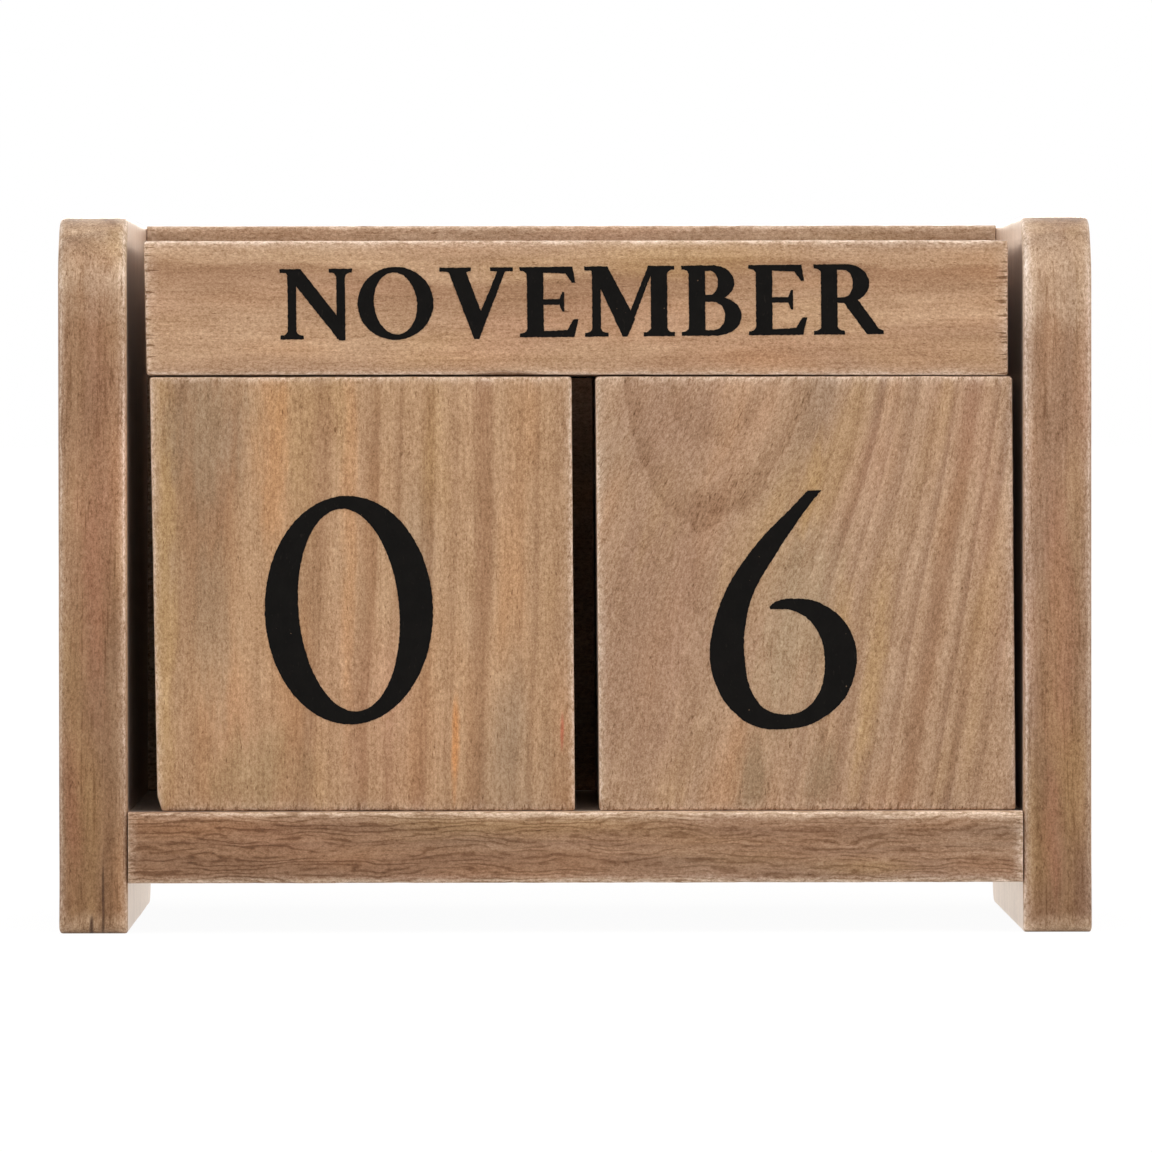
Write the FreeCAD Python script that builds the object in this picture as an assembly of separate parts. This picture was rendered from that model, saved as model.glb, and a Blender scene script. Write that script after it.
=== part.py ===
import FreeCAD, Part
import math
import os

os.makedirs("parts", exist_ok=True)

# Wooden perpetual desk calendar, in millimetres.
# An open frame of four boards holds two day cubes side by side on a shelf, and
# three square month bars lie across the tops of the cubes, one behind another.
# The origin is on the table under the middle of the frame. The front faces -Y
# and +Z is up.

# Day cubes: square stock sawn to a slightly longer height
CUBE_SIDE = 58.5
CUBE_HEIGHT = 60.6
CUBE_ARRIS = 0.5
CUBE_NODES = ("tens_cube", "units_cube")

# Room round the cubes, which stand a little nearer the right side board
CUBE_LEFT_GAP = 3.55
CUBE_GAP = 3.35
CUBE_RIGHT_GAP = 0.9
CUBE_REAR_GAP = 3.8
BLOCK_RECESS = 1.7

# Month bars: side by side they are nearly as deep as a cube
BAR_GAP = 0.3
BAR_REAR_SETBACK = 1.2
BAR_LEFT_GAP = 2.5
BAR_RIGHT_GAP = 2.0
BAR_DROP = 3.5
BAR_ARRIS = 0.45
BAR_NODES = ("month_bar_front", "month_bar_middle", "month_bar_rear")

# Frame boards, and the open gap between the shelf and the table
SIDE_THICKNESS = 9.6
SHELF_THICKNESS = 10.0
BACK_THICKNESS = 10.0
SHELF_LIFT = 7.0

# Corners of a side board in side view, and the sanded easing of board edges
TOP_FRONT_RADIUS = 9.5
TOP_REAR_RADIUS = 2.0
FOOT_FRONT_RADIUS = 1.6
FOOT_REAR_RADIUS = 4.5
SIDE_EASING = 0.8
BOARD_EASING = 0.6

# Hidden wooden dowels in the four corner joints, and their blind bores
DOWEL_DIAMETER = 5.0
DOWEL_LENGTH = 18.0
DOWEL_CHAMFER = 0.6
DOWEL_COVER = 2.2
DOWEL_INSET = 17.0
DOWELS_PER_JOINT = 2
BORE_CLEARANCE = 0.05
BORE_END_GAP = 0.5
FLUTE_COUNT = 8
FLUTE_DEPTH = 0.3
FLUTE_HALF_ANGLE = 45.0  # degrees

# The bars follow from the cubes, and the frame is built round both
BAR_SIDE = (CUBE_SIDE - BAR_REAR_SETBACK - BAR_GAP * (len(BAR_NODES) - 1)) / len(BAR_NODES)
CUBES_WIDTH = CUBE_SIDE * len(CUBE_NODES) + CUBE_GAP * (len(CUBE_NODES) - 1)
INNER_WIDTH = CUBE_LEFT_GAP + CUBES_WIDTH + CUBE_RIGHT_GAP
BAR_LENGTH = INNER_WIDTH - BAR_LEFT_GAP - BAR_RIGHT_GAP
SHELF_TOP = SHELF_LIFT + SHELF_THICKNESS
CUBE_TOP = SHELF_TOP + CUBE_HEIGHT
FRAME_WIDTH = INNER_WIDTH + 2 * SIDE_THICKNESS
FRAME_DEPTH = BLOCK_RECESS + CUBE_SIDE + CUBE_REAR_GAP + BACK_THICKNESS
FRAME_HEIGHT = CUBE_TOP + BAR_SIDE + BAR_DROP

# Places that several pieces share
LEFT_OUTSIDE = -FRAME_WIDTH / 2
RIGHT_OUTSIDE = FRAME_WIDTH / 2
LEFT_INSIDE = LEFT_OUTSIDE + SIDE_THICKNESS
RIGHT_INSIDE = RIGHT_OUTSIDE - SIDE_THICKNESS
FRONT = -FRAME_DEPTH / 2
REAR = FRAME_DEPTH / 2
BACK_FRONT = REAR - BACK_THICKNESS
BLOCK_FRONT = FRONT + BLOCK_RECESS

# Directions, and how nearly two directions must agree to count as the same
RIGHTWARD = FreeCAD.Vector(1, 0, 0)
LEFTWARD = FreeCAD.Vector(-1, 0, 0)
UPWARD = FreeCAD.Vector(0, 0, 1)
SAME = 1e-6


def save(node, shape):
    """Write one piece, or one group of like pieces, under its node's name."""
    shape.exportStep("parts/" + node + ".step")


def edges_near(shape, *points):
    """For each point, the straight edge of the shape whose middle is nearest."""
    return [
        min(shape.Edges, key=lambda edge: edge.CenterOfMass.distanceToPoint(point))
        for point in points
    ]


def edges_in_plane(shape, face_normal, offset):
    """The edges of the shape's flat face that lies at this offset along its normal."""
    flat = [face for face in shape.Faces if face.normalAt(0, 0).isEqual(face_normal, SAME)]
    outer = min(flat, key=lambda face: abs(face.CenterOfMass.dot(face_normal) - offset))
    return outer.Edges


def dowel_offsets(length):
    """Distances of a joint's dowels from one end of the joint."""
    pitch = (length - 2 * DOWEL_INSET) / (DOWELS_PER_JOINT - 1)
    return [DOWEL_INSET + index * pitch for index in range(DOWELS_PER_JOINT)]


def shelf_joint_axes():
    """Depth and height of each dowel between the shelf and a side board."""
    height = SHELF_LIFT + SHELF_THICKNESS / 2
    return [(FRONT + offset, height) for offset in dowel_offsets(FRAME_DEPTH)]


def back_joint_axes():
    """Depth and height of each dowel between the back and a side board."""
    depth = REAR - BACK_THICKNESS / 2
    rise = FRAME_HEIGHT - SHELF_TOP
    return [(depth, SHELF_TOP + offset) for offset in dowel_offsets(rise)]


def bore_bottom(outward):
    """X of a blind bore's bottom in the side board that lies in this direction."""
    return outward.x * (RIGHT_OUTSIDE - DOWEL_COVER)


def joint_bores(axes, outward):
    """Round cutters for the blind bores of one joint, through both its boards."""
    length = DOWEL_LENGTH + 2 * BORE_END_GAP
    radius = DOWEL_DIAMETER / 2 + BORE_CLEARANCE
    bores = []
    for depth, height in axes:
        start = FreeCAD.Vector(bore_bottom(outward), depth, height)
        bores.append(Part.makeCylinder(radius, length, start, -outward))
    return Part.makeCompound(bores)


def fluted_dowel():
    """A dowel standing on the origin: chamfered ends and straight square-cut flutes."""
    radius = DOWEL_DIAMETER / 2
    pin = Part.makeCylinder(radius, DOWEL_LENGTH)
    rims = [edge for edge in pin.Edges if edge.Closed]
    pin = pin.makeChamfer(DOWEL_CHAMFER, rims)
    root_radius = radius - FLUTE_DEPTH
    cutter_side = 2 * FLUTE_DEPTH
    flutes = []
    for index in range(FLUTE_COUNT):
        angle = 2 * math.pi * index / FLUTE_COUNT
        root = FreeCAD.Vector(root_radius * math.cos(angle), root_radius * math.sin(angle), 0)
        turn = FreeCAD.Rotation(UPWARD, math.degrees(angle) - FLUTE_HALF_ANGLE)
        flute = Part.makeBox(cutter_side, cutter_side, DOWEL_LENGTH)
        flute.Placement = FreeCAD.Placement(root, turn)
        flutes.append(flute)
    return pin.cut(flutes)


def joint_dowels(axes, outward):
    """The dowels of one joint, lying in their bores."""
    dowels = []
    turn = FreeCAD.Rotation(UPWARD, -outward)
    for depth, height in axes:
        start = FreeCAD.Vector(bore_bottom(outward), depth, height) - outward * BORE_END_GAP
        dowel = fluted_dowel()
        dowel.Placement = FreeCAD.Placement(start, turn)
        dowels.append(dowel)
    return Part.makeCompound(dowels)


def side_board(outward):
    """A side board: rounded corners in side view, eased rims, blind bores inside."""
    left = LEFT_OUTSIDE if outward.x < 0 else RIGHT_INSIDE
    corner = FreeCAD.Vector(left, FRONT, 0)
    board = Part.makeBox(SIDE_THICKNESS, FRAME_DEPTH, FRAME_HEIGHT, corner)
    middle = left + SIDE_THICKNESS / 2
    corners = (
        (TOP_FRONT_RADIUS, FRONT, FRAME_HEIGHT),
        (TOP_REAR_RADIUS, REAR, FRAME_HEIGHT),
        (FOOT_FRONT_RADIUS, FRONT, 0),
        (FOOT_REAR_RADIUS, REAR, 0),
    )
    for radius, depth, height in corners:
        edge = edges_near(board, FreeCAD.Vector(middle, depth, height))
        board = board.makeFillet(radius, edge)
    rims = edges_in_plane(board, LEFTWARD, -left)
    rims += edges_in_plane(board, RIGHTWARD, left + SIDE_THICKNESS)
    board = board.makeFillet(SIDE_EASING, rims)
    for axes in (shelf_joint_axes(), back_joint_axes()):
        board = board.cut(joint_bores(axes, outward))
    return board


def bored_board(board, axes):
    """A board that spans between the side boards, with the bores in both its ends."""
    for outward in (LEFTWARD, RIGHTWARD):
        board = board.cut(joint_bores(axes, outward))
    return board


def shelf():
    """The shelf: full depth, with its two front edges and lower rear edge eased."""
    corner = FreeCAD.Vector(LEFT_INSIDE, FRONT, SHELF_LIFT)
    board = Part.makeBox(INNER_WIDTH, FRAME_DEPTH, SHELF_THICKNESS, corner)
    exposed = edges_near(
        board,
        FreeCAD.Vector(0, FRONT, SHELF_TOP),
        FreeCAD.Vector(0, FRONT, SHELF_LIFT),
        FreeCAD.Vector(0, REAR, SHELF_LIFT),
    )
    board = board.makeFillet(BOARD_EASING, exposed)
    return bored_board(board, shelf_joint_axes())


def back_panel():
    """The back: it stands on the shelf, flush behind and on top, its top edges eased."""
    corner = FreeCAD.Vector(LEFT_INSIDE, BACK_FRONT, SHELF_TOP)
    board = Part.makeBox(INNER_WIDTH, BACK_THICKNESS, FRAME_HEIGHT - SHELF_TOP, corner)
    exposed = edges_near(
        board,
        FreeCAD.Vector(0, BACK_FRONT, FRAME_HEIGHT),
        FreeCAD.Vector(0, REAR, FRAME_HEIGHT),
    )
    board = board.makeFillet(BOARD_EASING, exposed)
    return bored_board(board, back_joint_axes())


def day_cube(index):
    """A day cube on the shelf, counted from the left, with its arrises taken off."""
    left = LEFT_INSIDE + CUBE_LEFT_GAP + index * (CUBE_SIDE + CUBE_GAP)
    corner = FreeCAD.Vector(left, BLOCK_FRONT, SHELF_TOP)
    block = Part.makeBox(CUBE_SIDE, CUBE_SIDE, CUBE_HEIGHT, corner)
    return block.makeChamfer(CUBE_ARRIS, block.Edges)


def month_bar(index):
    """A month bar across the cubes, counted from the front, with its arrises taken off."""
    depth = BLOCK_FRONT + index * (BAR_SIDE + BAR_GAP)
    corner = FreeCAD.Vector(LEFT_INSIDE + BAR_LEFT_GAP, depth, CUBE_TOP)
    block = Part.makeBox(BAR_LENGTH, BAR_SIDE, BAR_SIDE, corner)
    return block.makeChamfer(BAR_ARRIS, block.Edges)


# Frame
for side, outward in (("left", LEFTWARD), ("right", RIGHTWARD)):
    save("side_panel_" + side, side_board(outward))
    save("shelf_dowels_" + side, joint_dowels(shelf_joint_axes(), outward))
    save("back_dowels_" + side, joint_dowels(back_joint_axes(), outward))
save("shelf", shelf())
save("back_panel", back_panel())

# Loose blocks
for index, node in enumerate(CUBE_NODES):
    save(node, day_cube(index))
for index, node in enumerate(BAR_NODES):
    save(node, month_bar(index))
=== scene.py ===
import math
from dataclasses import dataclass
from itertools import product

import bpy
import numpy as np
from mathutils import Matrix, Vector, noise
from mathutils.geometry import delaunay_2d_cdt


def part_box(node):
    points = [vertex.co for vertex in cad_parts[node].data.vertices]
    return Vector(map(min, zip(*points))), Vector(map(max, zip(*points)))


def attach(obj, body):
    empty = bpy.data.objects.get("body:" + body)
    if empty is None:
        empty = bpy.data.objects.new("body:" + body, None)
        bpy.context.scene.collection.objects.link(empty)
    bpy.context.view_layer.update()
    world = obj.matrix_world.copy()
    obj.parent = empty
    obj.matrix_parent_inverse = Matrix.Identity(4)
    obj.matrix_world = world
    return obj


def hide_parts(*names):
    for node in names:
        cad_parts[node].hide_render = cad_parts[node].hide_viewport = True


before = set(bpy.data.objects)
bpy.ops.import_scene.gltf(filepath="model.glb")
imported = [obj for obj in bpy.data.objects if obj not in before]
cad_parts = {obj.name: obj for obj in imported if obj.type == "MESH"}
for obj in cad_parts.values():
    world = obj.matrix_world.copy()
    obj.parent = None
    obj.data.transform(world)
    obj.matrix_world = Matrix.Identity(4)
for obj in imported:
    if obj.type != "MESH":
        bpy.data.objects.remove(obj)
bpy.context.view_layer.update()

# Looks of a wooden perpetual desk calendar. The frame's own unit is the metre.
# Sizes below are in millimetres, and MM turns them into the frame's unit.
MM = 0.001

# Camera: a long lens, nearly level, a little left of the middle
CAMERA_PLACE = (-8.94, -1179.08, 72.65)
CAMERA_YAW = math.radians(-0.453)
CAMERA_PITCH = math.radians(-1.146)
CAMERA_ROLL = math.radians(-0.073)
LENS = 256.4
SENSOR = 36.0

# Studio: name, azimuth and elevation in degrees, distance and size in metres, and level
LIGHT_AIM = (0, 0, 50)
SOFT_LIGHTS = (
    ("top_light", 0, 72, 1.1, 0.8, 0.60),
    ("left_light", -56, 24, 1.2, 0.6, 0.37),
    ("right_light", 56, 24, 1.2, 0.6, 0.39),
    ("rear_light", 180, 28, 1.3, 0.8, 0.72),
)
TENT_LEVEL = 0.12
WHITE = (1, 1, 1, 1)
FLOOR_SIZE = 30000.0
FLOOR_COLOUR = (0.85, 0.85, 0.85, 1)
FLOOR_GLOW = 0.94
FLOOR_BRIGHTNESS = 1.02
FLOOR_FADE = (0.15, 0.9)  # metres from the middle

# Arrises of the pieces: how far the easing reaches in across each direction
CUBE_ARRIS = (0.55, 0.55, 0.55)
BAR_ARRIS = (0.35, 0.5, 0.5)
SHELF_ARRIS = (0.12, 0.8, 0.8)
BACK_ARRIS = (0.12, 0.6, 0.6)

# Side boards: corner radii in side view, each with its end of the depth and of the height,
# and rims, which widen up the front and narrow to the foot
SIDE_CORNERS = ((9.5, 0, 1), (2.0, 1, 1), (1.6, 0, 0), (4.5, 1, 0))
SIDE_RIM = 0.8
SIDE_FRONT_RIM = 1.4
SIDE_FOOT_RIM = 0.45
FRONT_RIM_REACH = 6.0
FRONT_RIM_HEIGHTS = (3.0, 9.0)
FOOT_RIM_HEIGHTS = (0.0, 4.0)

# How far a seed moves the noise along each axis: in meshes, in year rings and in the tone
FIELD_SHIFT = (17.3, 5.1, 9.7)
RING_SHIFT = (31, 13, 7)
TONE_SHIFT = (19, 23, 11)

# Wear: its share and pitches, and the least and most of it in the shape and in the pale edge, which is wear
# and painted highlight
WEAR_SHARE = 0.45
WEAR_PITCHES = (5.0, 1.25)
WEAR_LIMITS = (0.3, 2.0)
TINT_LIMITS = (0.4, 1.4)
SIDE_WEAR_SHARE = 0.27
SIDE_WEAR_PITCH = 10.0
SIDE_WEAR_LIMITS = (0.6, 1.15)
SIDE_TINT_LIMITS = (0.5, 1.3)
SURFACE_DIP = 0.03
SURFACE_PITCH = 7.0
SIDE_SURFACE_PITCH = 14.0
EDGE_FADE = 0.5

# Mesh lines: their spacing, and the closer ones near an edge as shares of its easing
MESH_STEP = 1.25
RIM_SHARES = (0, 0.18, 0.4, 0.7, 1.1, 1.7, 2.6)
TINY = 1e-9

# Ink: thin plates, sunk a little into the face they are printed on
INK_RISE = 0.03
INK_SINK = 0.05
INK_STEP = 0.22
INK_RAGGED = 0.075
INK_RAGGED_PITCH = 0.35
INK_SEED_SHIFT = 3.7
CAP_HEIGHT = 9.8

# Faces of a block: which way each looks, and which way is up on it
FACES = {
    "front": ((0, -1, 0), (0, 0, 1)),
    "back": ((0, 1, 0), (0, 0, 1)),
    "left": ((-1, 0, 0), (0, 0, 1)),
    "right": ((1, 0, 0), (0, 0, 1)),
    "top": ((0, 0, 1), (0, 1, 0)),
    "bottom": ((0, 0, -1), (0, -1, 0)),
    "turned_back": ((0, 1, 0), (0, 0, -1)),
}

# Each face's number, its height, and how far its middle lies across and above the face's middle
CUBE_NUMBERS = {
    "tens_cube": {
        "front": ("0", 31.9, -1.95, -2.25),
        "top": ("1", 31.9, 0.4, -0.6),
        "back": ("2", 31.9, -0.8, 0.5),
        "bottom": ("3", 31.9, 0.6, -0.4),
        "left": ("4", 31.9, 0.9, -0.7),
        "right": ("5", 31.9, -0.6, 0.3),
    },
    "units_cube": {
        "front": ("6", 33.4, -3.15, -2.3),
        "top": ("7", 31.9, -0.5, -0.8),
        "back": ("8", 31.9, 0.7, -0.5),
        "bottom": ("0", 31.9, -0.4, 0.6),
        "left": ("1", 31.9, 0.3, -0.9),
        "right": ("2", 31.9, 0.8, 0.4),
    },
}

# Each face's month, how far its middle lies across and above the face's, and its turn in degrees
BAR_MONTHS = {
    "month_bar_front": {
        "front": ("NOVEMBER", 0.6, 0.95, 0.45),
        "top": ("DECEMBER", -0.8, 0.2, -0.3),
        "turned_back": ("SEPTEMBER", 0.5, -0.3, 0.2),
        "bottom": ("OCTOBER", -0.4, 0.4, 0.0),
    },
    "month_bar_middle": {
        "front": ("MAY", 0.4, 0.2, -0.2),
        "top": ("AUGUST", 0.9, -0.3, 0.3),
        "turned_back": ("JUNE", -0.6, 0.1, 0.0),
        "bottom": ("JULY", 0.3, 0.3, 0.2),
    },
    "month_bar_rear": {
        "front": ("JANUARY", -0.5, 0.3, 0.2),
        "top": ("APRIL", 0.6, 0.1, -0.2),
        "turned_back": ("MARCH", 0.2, -0.2, 0.3),
        "bottom": ("FEBRUARY", -0.3, 0.2, 0.0),
    },
}

# Sideways shifts of a block's four front corners, and dents: centre, size and push
CUBE_SHIFTS = {
    "tens_cube": (-0.46, -0.11, 0.52, 0.29),
    "units_cube": (-0.18, -0.52, 0.29, -0.04),
}
BAR_SHIFTS = (-0.2, 0, 0.2, 0)
TENS_DENTS = (((-59.0, -35.3, 17.1), (2.2, 60, 2.3), (0.5, 0, 0)),)
TENS_EXTRA_LINES = ((), (), (17.6, 18.0, 18.4, 18.8, 19.2, 19.6, 20.0))
UNITS_DENTS = (((3.0, -35.6, 17.2), (1.3, 1.4, 1.7), (0.5, 0.35, 0)),)
BAR_DENTS = (
    ((-9.6, -35.4, 77.6), (6.0, 1.6, 0.8), (0, 0.3, 0.5)),
    ((-30, -35.4, 77.6), (130, 4.5, 0.9), (0, 0, 0.25)),
)


def srgb(red, green, blue):
    """A colour given as 0 to 255 screen values, as the shader's linear values."""
    def linear(value):
        share = value / 255
        return share / 12.92 if share <= 0.04045 else ((share + 0.055) / 1.055) ** 2.4
    return (linear(red), linear(green), linear(blue), 1.0)


# Pale arrises: the colour of sanding wear and of painted highlight along the edges
EDGE_WEAR_AND_HIGHLIGHT = srgb(227, 201, 178)
SATIN_COLOUR = srgb(255, 244, 234)
ORANGE = srgb(196, 132, 74)
YELLOW = srgb(186, 148, 90)
GREY = srgb(140, 120, 98)
PINK = srgb(188, 136, 108)
# Painted light: highlights on lit tops and arrises, and lit patches at the feet and on the inner faces
PAINTED_LIGHT = srgb(204, 174, 144)
CRACK = srgb(70, 40, 24)
SMUDGE = srgb(132, 110, 82)
ASH = srgb(160, 137, 110)
RUST = srgb(166, 112, 84)

# Noises of the materials: ripples per millimetre across, across and along the grain,
# then detail, and roughness and offset where they aren't the plain ones
NOISES = {
    "bend": ((0.035, 0.035, 0.012), 2),
    "kink": ((0.3, 0.3, 0.05), 2),
    "streak": ((0.75, 0.75, 0.03), 3, 0.6),
    "patch": ((0.09, 0.09, 0.03), 2),
    "blotch": ((0.45, 0.45, 0.2), 2),
    "fibre": ((2.2, 2.2, 0.12), 2, 0.55),
    "fleck": ((2.7, 2.7, 1.5), 3, 0.65),
    "grit": ((6, 6, 4), 1, 0.5, (9, 5, 3)),
    "dash": ((4, 4, 0.9), 1, 0.5, (5, 9, 1)),
    "vein": ((2.6, 2.6, 0.14), 3, 0.6, (3, 8, 6)),
    "hue": ((0.11, 0.11, 0.02), 2, 0.5, (70, 40, 20)),
    "cool": ((0.07, 0.07, 0.02), 2, 0.5, (-40, 90, 60)),
    "ragged": ((0.35, 0.35, 0.07), 4, 0.65),
    "wander": ((0.25, 0.25, 0.25), 3),
    "wave": ((0.085, 0.33, 0.36), 3),
    "wave_break": ((0.17, 0.9, 1.3), 2),
    "ink_cloud": ((0.5, 0.5, 0.5), 3),
    "ink_grain": ((2.4, 2.4, 1.2), 2),
    "ink_hole": ((1.5, 1.5, 1.5), 1),
}

# Hues that drift through the stain: noise, where each starts and is full, its share and its colour
DRIFTS = (
    ("hue", 0.5, 0.8, 0.3, ORANGE),
    ("hue", 0.5, 0.25, 0.35, YELLOW),
    ("cool", 0.52, 0.8, 0.45, GREY),
    ("cool", 0.48, 0.2, 0.35, PINK),
)

# Year rings: how the pace of growth varies, where late wood is full and ends, and a ring's strength
PACE_PITCH = 0.37
PACE_GAIN = 2.2
LATE_FULL = 0.8
LATE_END = (0.82, 1.0)
RING_STRENGTH = (0.45, 0.75)
BEND_GAIN = 4.0
KINK_GAIN = 0.45

# Tone: what one unit of a timber's speckle gives each noise, where a noise turns into marks,
# and what else darkens the wood
SPECKLE_GAINS = {"blotch": 0.35, "fleck": 1.25, "grit": 0.8}
VEINS = (0.54, 0.72)
DASHES = (0.66, 0.8)
DASH_DEPTH = 0.5
# Where the flecks let the pale edge through: wear and painted highlight
WEAR_AND_HIGHLIGHT_FLECKS = (0.3, 0.6)
END_GRAIN = (0.75, 0.97)
END_GRAIN_TONE = 0.84
WARMTH = (0.9, 1.15, 1.45)
RAGGED_GAIN = 1.6
CUP_WANDER = 2.4
CUP_BORDER = 0.5
CUP_DASHES = (0.56, 0.7)
CUP_DASH_GAIN = 2.4
WAVE_GAIN = 5.0
WAVE_SPACING = 0.8
WAVE_LINE = (0.05, 0.32)
WAVE_BREAKS = (0.35, 0.55)
TORN_RUN = 0.02
TORN_LENGTHS = (0.5, 0.76)
TORN_EDGE = 0.2

# Gloss: roughness over the flecks, and the satin sheen, with the angles at which it starts and is full
WOOD_ROUGHNESS = (0.58, 0.72)
INK_ROUGHNESS = (0.6, 0.75)
SATIN_ROUGHNESS = 0.36
SATIN_TINT = 0.8
SATIN_FACING = (0.8, 0.95)
SATIN_SHARE = 0.85


# Meshes of the wooden pieces

def ramp(value, start, end):
    """Zero up to the start, one from the end, and straight between them."""
    return np.clip((value - start) / (end - start), 0, 1)


def grid_levels(low, high, rim, extra=()):
    """Where the mesh lines lie across a piece: close in the rims, evenly spaced between."""
    rims = rim * np.array(RIM_SHARES)
    count = max(2, math.ceil((high - low - 2 * rims[-1]) / MESH_STEP) + 1)
    middle = np.linspace(low + rims[-1], high - rims[-1], count)
    return np.unique(np.concatenate((low + rims, middle, high - rims, np.array(extra, float))).round(4))


def box_grid(levels):
    """Points and faces of a closed box with its mesh lines at these levels."""
    found = {}
    faces = []

    def point(axis, end, first, second):
        key = [0, 0, 0]
        key[axis] = end
        key[(axis + 1) % 3] = first
        key[(axis + 2) % 3] = second
        return found.setdefault(tuple(key), len(found))

    for axis in range(3):
        across, along = (range(len(levels[(axis + turn) % 3]) - 1) for turn in (1, 2))
        for end in (0, len(levels[axis]) - 1):
            for x, y in product(across, along):
                corners = ((x, y), (x + 1, y), (x + 1, y + 1), (x, y + 1))
                face = [point(axis, end, *corner) for corner in corners]
                faces.append(face if end else face[::-1])
    keys = np.array(list(found))
    points = np.stack([levels[axis][keys[:, axis]] for axis in range(3)], axis=1)
    return points, faces


def field(points, pitch, seed):
    """Smooth noise from -1 to 1 at each point, with hills about one pitch wide."""
    shift = Vector(seed * reach for reach in FIELD_SHIFT)
    return np.array([noise.noise(Vector(point) / pitch + shift) for point in points])


def surface_dip(points, pitch, seed):
    """How deep each point of a planed face lies, from nothing to the full dip."""
    return SURFACE_DIP * (0.5 + 0.5 * field(points, pitch, seed))


def round_arrises(points, low, high, radii):
    """Box points moved onto a box with rounded arrises, and each point's outward direction."""
    core = np.clip(points, low + radii, high - radii)
    reach = (points - core) / radii
    length = np.maximum(np.linalg.norm(reach, axis=1, keepdims=True), 1.0)
    direction = reach / length
    return core + radii * direction, direction


def edge_distance(points, low, high):
    """Distance of each surface point from the nearest edge of its box."""
    gaps = np.sort(np.minimum(points - low, high - points), axis=1)
    return gaps[:, 1]


def skew(points, low, high, shifts):
    """Shifts the four corners of the front view sideways: top left and right, foot left and right."""
    share = (points - low) / (high - low)
    top_left, top_right, foot_left, foot_right = shifts
    top = top_left + (top_right - top_left) * share[:, 0]
    foot = foot_left + (foot_right - foot_left) * share[:, 0]
    points[:, 0] += foot + (top - foot) * share[:, 2]


def new_object(name, points, faces, material):
    """A mesh object at the origin, from points in millimetres."""
    mesh = bpy.data.meshes.new(name)
    mesh.from_pydata((points * MM).tolist(), [], faces)
    mesh.materials.append(material)
    made = bpy.data.objects.new(name, mesh)
    bpy.context.scene.collection.objects.link(made)
    return made


def wooden_piece(points, faces, edge, node, body, material):
    """The piece that stands for a CAD node, with its pale edge mask (wear and painted highlight) stored on
    its points.
    """
    piece = new_object(node + "_wood", points, faces, material)
    piece.data.polygons.foreach_set("use_smooth", [True] * len(faces))
    edge_wear_and_highlight = piece.data.attributes.new("edge", "FLOAT", "POINT")
    edge_wear_and_highlight.data.foreach_set("value", edge.astype(np.float32))
    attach(piece, body)
    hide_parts(node)


def node_box(node):
    """Corners of a CAD node's box, in millimetres."""
    low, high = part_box(node)
    return np.array(low) / MM, np.array(high) / MM


def block_piece(node, body, material, arris, seed, shifts=(0, 0, 0, 0), dents=(), extra=((), (), ())):
    """A sawn block or board: worn arrises, slightly uneven faces, and any dents."""
    low, high = node_box(node)
    levels = [grid_levels(low[axis], high[axis], arris[axis], extra[axis]) for axis in range(3)]
    points, faces = box_grid(levels)
    wear_and_highlight = sum((WEAR_SHARE * field(points, pitch, seed) for pitch in WEAR_PITCHES), 1)
    radii = np.array(arris) * np.clip(wear_and_highlight, *WEAR_LIMITS)[:, None]
    distance = edge_distance(points, low, high)
    points, direction = round_arrises(points, low, high, radii)
    points -= direction * surface_dip(points, SURFACE_PITCH, seed + 1)[:, None]
    for centre, size, push in dents:
        reach = np.linalg.norm((points - np.array(centre)) / np.array(size), axis=1)
        points += (np.clip(1 - reach**2, 0, 1) ** 2)[:, None] * np.array(push)
    skew(points, low, high, shifts)
    # Pale edge mask: wear on the arrises and painted highlight along them
    edge = np.exp(-distance / EDGE_FADE) * np.clip(wear_and_highlight, *TINT_LIMITS)
    wooden_piece(points, faces, edge, node, body, material)


def eased(beside, inset, rim):
    """Distances from the board's face and from its outline, moved onto a round rim between the two."""
    near = (beside < rim) & (inset < rim)
    back = np.hypot(rim - beside, rim - inset)
    scale = np.where(near, rim / np.maximum(back, TINY), 1.0)
    return [np.where(near, rim - (rim - away) * scale, away) for away in (beside, inset)]


def round_corner(flat, points, centre, outward, drop):
    """Swings the points beyond a corner's centre onto arcs round it, moved in by the drop."""
    away = (points[:, 1:] - centre) * outward
    inside = (away > 0).all(axis=1)
    reach = np.maximum(away.max(axis=1), TINY) - drop
    turned = away / np.maximum(np.linalg.norm(away, axis=1), TINY)[:, None]
    flat[inside, 1:] = (centre + turned * reach[:, None] * outward)[inside]


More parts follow.
